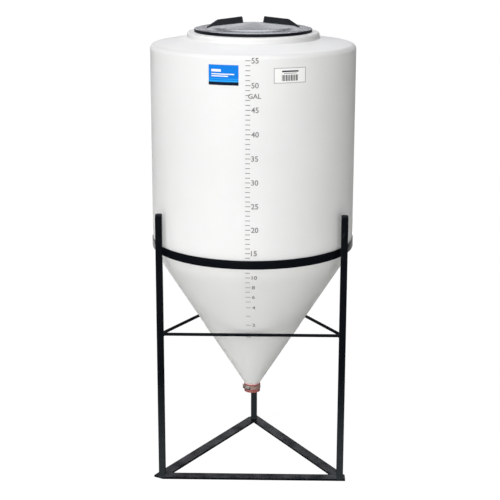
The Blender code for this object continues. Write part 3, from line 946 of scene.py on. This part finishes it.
def build_rods():
    """Round rods, cut flush with the faces that they meet; returns each rod's ends and those normals."""
    joints = []
    for side in ("front", "left", "right"):
        node = f"brace_rod_{side}"
        ends = sorted(node_axis(node), key=lambda p: (round(p.y, 3), p.x))
        first = Vector((1, 0, 0) if side == "front" else (0, 1, 0))
        normals = (first, Vector((1, 0, 0)))
        along = (ends[1] - ends[0]).normalized()
        arms = spokes(along, ROD_RADIUS, 32)
        rings = []
        for end, normal in zip(ends, normals):
            rings.append([cut_flush(end, along, normal, arm) for arm in arms])
        made = loft(f"rod_{side}", rings, MATERIALS["rod_paint"])
        finish_piece(made, STAND, "black_paint", node)
        joints.append((ends, normals))
    return joints


def add_bead(bm, points, radius, seed, closed=False):
    """A weld bead along a line: a tube with the ripples of a hand-laid run."""
    pitch = 0.9 * radius
    spacing = pitch / 4
    path = resample(points, spacing, closed)
    sides = 8
    rows = []
    count = len(path)
    for i, point in enumerate(path):
        ahead = path[(i + 1) % count] if closed else path[min(i + 1, count - 1)]
        behind = path[i - 1] if closed or i else path[0]
        ripple = abs(sin(pi * i * spacing / pitch))
        wobble = noise.noise(Vector((i * spacing / radius * 0.35, seed, 0.0)))
        size = radius * (0.80 + 0.20 * ripple + 0.18 * wobble)
        if not closed:
            size *= min(1.0, 0.35 + min(i, count - 1 - i) * spacing / radius)
        arms = spokes((ahead - behind).normalized(), size, sides)
        rows.append([bm.verts.new(point + arm) for arm in arms])
    for i in range(count if closed else count - 1):
        a, b = rows[i], rows[(i + 1) % count]
        shift = 0
        if closed and i == count - 1:
            shift = min(range(sides), key=lambda s: (a[0].co - b[s].co).length)
        for k in range(sides):
            m = (k + 1) % sides
            bm.faces.new((a[k], a[m], b[(m + shift) % sides], b[(k + shift) % sides]))
    if not closed:
        bm.faces.new(list(reversed(rows[0])))
        bm.faces.new(rows[-1])


def resample(points, spacing, closed):
    """Even points along a line of corners."""
    corners = [Vector(p) for p in points]
    if closed:
        corners.append(corners[0])
    length = sum((b - a).length for a, b in zip(corners, corners[1:]))
    count = max(3, round(length / spacing))
    path = []
    place = 0.0
    start = 0
    left = (corners[1] - corners[0]).length
    for _ in range(count if closed else count + 1):
        while place > left + 1e-9 and start < len(corners) - 2:
            place -= left
            start += 1
            left = (corners[start + 1] - corners[start]).length
        a, b = corners[start], corners[start + 1]
        path.append(a.lerp(b, min(1.0, place / max(left, 1e-9))))
        place += length / count
    return path


def build_welds(joints):
    """Beads round the legs' feet, at the ring and at the rods' ends."""
    bm = bmesh.new()
    foot_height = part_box("base_bar_front")[1].z + BEAD_RISE * FOOT_BEAD_RADIUS
    seed = 0
    for box in LEG_BOXES.values():
        seed += 1
        x, y, half = leg_plan(box)
        foot = square_ring(x, y, half, LEG_CORNER, foot_height)
        add_bead(bm, foot, FOOT_BEAD_RADIUS, seed, closed=True)
        add_ring_welds(bm, box, seed)
    for ends, normals in joints:
        along = (ends[1] - ends[0]).normalized()
        for end, normal, sign in ((ends[0], normals[0], 1), (ends[1], normals[1], -1)):
            seed += 1
            add_bead(bm, rod_collar(end, normal, along * sign), BEAD_RADIUS, seed, closed=True)
    made = obj_from_bmesh("stand_welds", bm, [MATERIALS["paint"]], radians(70))
    finish_piece(made, STAND, "black_paint")


def rod_collar(end, normal, inward):
    """The line where a rod meets a leg's face."""
    lift = inward * 0.02 * INCH
    return [cut_flush(end, inward, normal, arm) + lift for arm in spokes(inward, ROD_RADIUS * 1.02, 24)]


def add_ring_welds(bm, box, seed):
    """Upright beads in the nooks between the ring's outer face and the leg."""
    reach = RING_BOX[1].x + BEAD_RISE * BEAD_RADIUS
    x, _, half = leg_plan(box)
    side = 1 if x > 0 else -1
    if abs(x) < half:
        offsets = (-0.34 * INCH, 0.34 * INCH)
        places = [(px, TANK_Y + sqrt(reach**2 - px**2), seed + 10 * px) for px in offsets]
    else:
        inner_x = side * (abs(x) - half)
        back_y = box[1].y
        places = [
            (inner_x, TANK_Y - sqrt(reach**2 - inner_x**2), seed),
            (side * sqrt(reach**2 - (back_y - TANK_Y) ** 2), back_y, seed + 0.37),
        ]
    low, high = RING_BOX[0].z + BEAD_RADIUS, RING_BOX[1].z - BEAD_RADIUS
    for px, py, own_seed in places:
        add_bead(bm, [(px, py, low), (px, py, high)], BEAD_RADIUS, own_seed)


def build_hose():
    """Short hose sleeve, drawn in by the clamp and swelling a little above and below it."""
    low, high = HOSE_BOX[0].z, HOSE_BOX[1].z
    outer = HOSE_BOX[1].x
    bore = SPIGOT_RADIUS + HAIR
    pinch = 0.012 * INCH
    clamp_low, clamp_high = BAND_BOX[0].z, BAND_BOX[1].z
    ease = 0.03 * INCH
    corners = [
        (bore, high, 0.4 * ease),
        (outer - 0.2 * pinch, high, 2.4 * ease),
        (outer, (high + clamp_high) / 2, 0.05 * INCH),
        (outer - pinch, clamp_high - 0.02 * INCH, 0.03 * INCH),
        (outer - pinch, clamp_low + 0.02 * INCH, 0.03 * INCH),
        (outer, (low + clamp_low) / 2, 0.08 * INCH),
        (outer - 0.2 * pinch, low, ease),
        (bore, low, 0.4 * ease),
    ]
    made = lathe("hose_sleeve", filleted(corners, True, radians(15)), MATERIALS["rubber"], HOSE_STEPS)
    finish_piece(made, STAND, "red_rubber", "drain_hose")


def build_clamp():
    """Worm-drive band with a slotted run, its free tail, and the housing with its screw."""
    outer = BAND_BOX[1].x
    inner = outer - CLAMP_THICKNESS
    low, high = BAND_BOX[0].z, BAND_BOX[1].z
    rim = 0.28 * (high - low)
    levels = [low, low + rim, high - rim, high]
    outline = [(outer, z) for z in levels] + [(inner, z) for z in reversed(levels)]
    lengths = [k * 0.15 * INCH for k in range(len(outline) + 1)]
    bm = bmesh.new()
    strips = spin(bm, outline, CLAMP_STEPS, lengths)
    slots = [strip[1] for strip in strips[::3]]
    bmesh.ops.inset_individual(bm, faces=slots, thickness=0.006 * INCH, depth=-0.022 * INCH)
    made = obj_from_bmesh("clamp_strip", bm, [MATERIALS["steel"]])
    finish_piece(made, STAND, "stainless_steel", "clamp_band")
    build_clamp_tail(outer, low, high)
    build_housing(outer)


def build_clamp_tail(outer, low, high):
    """The band's free end, lifting off the band past the housing."""
    start = HOUSING_ANGLE - radians(14)
    sweep = radians(62)
    thick = CLAMP_THICKNESS * 0.8
    taper = 0.15
    steps = 14
    rings = []
    for i in range(steps + 1):
        share = i / steps
        angle = start - sweep * share
        inside = outer + 0.004 * INCH + 0.16 * INCH * share**2
        trim = 0.05 * INCH * max(0.0, share - (1 - taper)) / taper
        section = [
            (inside, low + trim),
            (inside + thick, low + trim),
            (inside + thick, high - trim),
            (inside, high - trim),
        ]
        rings.append([polar(angle, r, z) for r, z in section])
    finish_piece(loft("clamp_tail", rings, MATERIALS["steel"]), STAND, "stainless_steel")


def place_at_housing(made, outer):
    """Put an object modelled with x along the band and -y outwards at the housing's place."""
    middle = (BAND_BOX[0].z + BAND_BOX[1].z) / 2
    place = polar(HOUSING_ANGLE, outer + HAIR + HOUSING_SIZE.y / 2, middle)
    made.matrix_world = Matrix.Translation(place) @ Matrix.Rotation(HOUSING_ANGLE + pi / 2, 4, "Z")


def build_housing(outer):
    """Pressed saddle over the screw: a rounded tunnel with folded feet."""
    half = HOUSING_SIZE / 2
    wall = 0.03 * INCH
    fold = 0.02 * INCH
    tunnel = half.y - 0.01 * INCH
    foot = half.y - 2 * wall
    steps = 12
    section = [(half.y, -half.z), (foot, -half.z)]
    for k in range(steps + 1):
        angle = pi + pi * k / steps
        section.append((tunnel * sin(angle) * 1.05, (half.z - 0.10 * INCH) * cos(angle)))
    section += [(foot, half.z), (half.y, half.z)]
    rings = [[(x, y, z) for y, z in section] for x in (-half.x, -half.x + fold, half.x - fold, half.x)]
    made = loft("clamp_saddle", rings, MATERIALS["saddle"])
    place_at_housing(made, outer)
    finish_piece(made, STAND, "stainless_steel", "clamp_housing")
    build_screw(outer, half)


def build_screw(outer, half):
    """Hex head with a washer face."""
    radius = 0.11 * INCH
    length = 0.34 * INCH
    start = -half.x - HAIR
    sides = 24
    turns = [2 * pi * k / sides for k in range(sides)]
    rings = []
    shank = [(0.0, 0.55), (0.10, 0.55), (0.10, 1.0), (0.17, 1.0), (0.17, 0.92), (0.92, 0.92), (1.0, 0.80)]
    for share, size in shank:
        is_round = share <= 0.10 or size == 1.0
        reaches = [radius * size * (1.0 if is_round else hex_factor(turn)) for turn in turns]
        x = start - length * share
        rings.append([(x, reach * cos(turn), reach * sin(turn)) for turn, reach in zip(turns, reaches)])
    bm = bmesh.new()
    head = add_loft(bm, rings)[-1]
    bmesh.ops.inset_individual(bm, faces=[head], thickness=0.02 * INCH, depth=0.0)
    made = obj_from_bmesh("clamp_hex_screw", bm, [MATERIALS["screw"]], radians(25))
    place_at_housing(made, outer)
    finish_piece(made, STAND, "stainless_steel", "clamp_screw")


def hex_factor(angle):
    """Reach of a regular hexagon of unit corner radius at an angle."""
    third = pi / 3
    off = (angle % third) - third / 2
    return cos(third / 2) / cos(off)


def build_floor():
    """Pale floor: near white to the camera and slightly warm in the light it sends up. In reflections it
    is dark but for a bright patch behind at each side."""
    bm = bmesh.new()
    bmesh.ops.create_circle(bm, cap_ends=True, segments=64, radius=40.0)
    made, tree, shader = new_material("pale_floor", {
        "Emission Color": (1.0, 1.0, 1.0, 1.0), "Roughness": 0.95, "Specular IOR Level": 0.0,
    })
    rays = add_node(tree, "ShaderNodeLightPath").outputs
    to_camera, glossy = rays["Is Camera Ray"], rays["Is Glossy Ray"]
    seen = mix_colours(tree, to_camera, (0.93, 0.93, 0.90), (0.08, 0.08, 0.08))
    link(tree, mix_colours(tree, glossy, seen, (0.05, 0.05, 0.05)), shader.inputs["Base Color"])
    glow = remap(tree, to_camera, 0.0, 1.0, 0.07, 0.965)
    dimmed = remap(tree, glossy, 0.0, 1.0, 1.0, 0.0)
    place = axes(tree)
    left = multiply(tree, band(tree, place["X"], -1.9, -0.7, 0.3), 0.85)
    right = multiply(tree, band(tree, place["X"], 0.7, 1.9, 0.3), 0.40)
    beyond = remap(tree, place["Y"], 0.4, 1.2, 0.0, 1.0)
    mirrored = multiply(tree, multiply(tree, total(tree, left, right), beyond), glossy)
    link(tree, total(tree, multiply(tree, glow, dimmed), mirrored), shader.inputs["Emission Strength"])
    floor = obj_from_bmesh("floor", bm, [made])


def add_sun(name, azimuth, zenith, strength, softness):
    """A soft light from a direction: azimuth turns from the front towards +X."""
    light = bpy.data.lights.new(name, "SUN")
    light.energy = strength
    light.angle = softness
    made = bpy.data.objects.new(name, light)
    source = Vector((sin(azimuth) * sin(zenith), -cos(azimuth) * sin(zenith), cos(zenith)))
    made.rotation_mode = "QUATERNION"
    made.rotation_quaternion = source.to_track_quat("Z", "Y")
    bpy.context.scene.collection.objects.link(made)


def build_world():
    """Studio surround: plain to the camera, and in reflections a pale strip low behind, a fainter one under
    it and a narrow soft box above."""
    world = bpy.data.worlds.new("studio")
    bpy.context.scene.world = world
    world.use_nodes = True
    tree = world.node_tree
    back = tree.nodes["Background"]
    back.inputs["Color"].default_value = (0.965, 0.975, 1.03, 1.0)
    place = axes(tree, output="Generated")
    height = place["Z"]
    strip = multiply(tree, band(tree, height, 0.19, 0.30, 0.05), STRIP_LIGHT)
    under = multiply(tree, band(tree, height, -0.2, 0.17, 0.05), UNDER_LIGHT)
    narrow = band(tree, place["X"], -0.26, 0.26, 0.10)
    box = multiply(tree, multiply(tree, narrow, band(tree, height, 0.58, 0.80, 0.08)), BOX_LIGHT)
    behind = remap(tree, place["Y"], 0.0, 0.2, 0.0, 1.0)
    shapes = multiply(tree, behind, total(tree, total(tree, strip, under), box))
    rays = add_node(tree, "ShaderNodeLightPath").outputs
    mirrored = multiply(tree, total(tree, shapes, REST_LIGHT), rays["Is Glossy Ray"])
    plain = multiply(tree, rays["Is Camera Ray"], PLAIN_LIGHT)
    link(tree, total(tree, mirrored, plain), back.inputs["Strength"])


def build_lights():
    """Three soft lights from the front, a little to the left: azimuth, zenith, strength and softness."""
    suns = {
        "top_light": (-10, 28, 0.34, 40),
        "key_light": (-18, 42, 1.37, 80),
        "low_light": (-20, 68, 2.43, 80),
    }
    for name, (azimuth, zenith, strength, softness) in suns.items():
        add_sun(name, radians(azimuth), radians(zenith), strength, radians(softness))


def build_camera():
    """The camera fitted to the photograph."""
    ahead = Vector((sin(CAMERA_YAW), cos(CAMERA_YAW), 0.0))
    side = Vector((cos(CAMERA_YAW), -sin(CAMERA_YAW), 0.0))
    above = Vector((0.0, 0.0, 1.0))
    forward = ahead * cos(CAMERA_PITCH) - above * sin(CAMERA_PITCH)
    up = ahead * sin(CAMERA_PITCH) + above * cos(CAMERA_PITCH)
    right = side * cos(CAMERA_ROLL) + up * sin(CAMERA_ROLL)
    top = up * cos(CAMERA_ROLL) - side * sin(CAMERA_ROLL)
    data = bpy.data.cameras.new("camera")
    data.sensor_width = SENSOR_WIDTH
    data.lens = CAMERA_FOCAL_PIXELS / PHOTO_PIXELS * SENSOR_WIDTH
    data.clip_end = 200.0
    made = bpy.data.objects.new("camera", data)
    bpy.context.scene.collection.objects.link(made)
    place = Vector((CAMERA_X, TANK_Y - CAMERA_DISTANCE, CAMERA_HEIGHT))
    made.matrix_world = Matrix.Translation(place) @ Matrix((right, top, -forward)).transposed().to_4x4()
    bpy.context.scene.camera = made


build_shell()
build_marks()
build_numbers()
build_blue_label()
build_white_label()
build_lid()
build_legs()
build_ring()
build_bars()
build_welds(build_rods())
build_hose()
build_clamp()
build_floor()
build_world()
build_lights()
build_camera()
bpy.context.scene.view_settings.view_transform = "Standard"
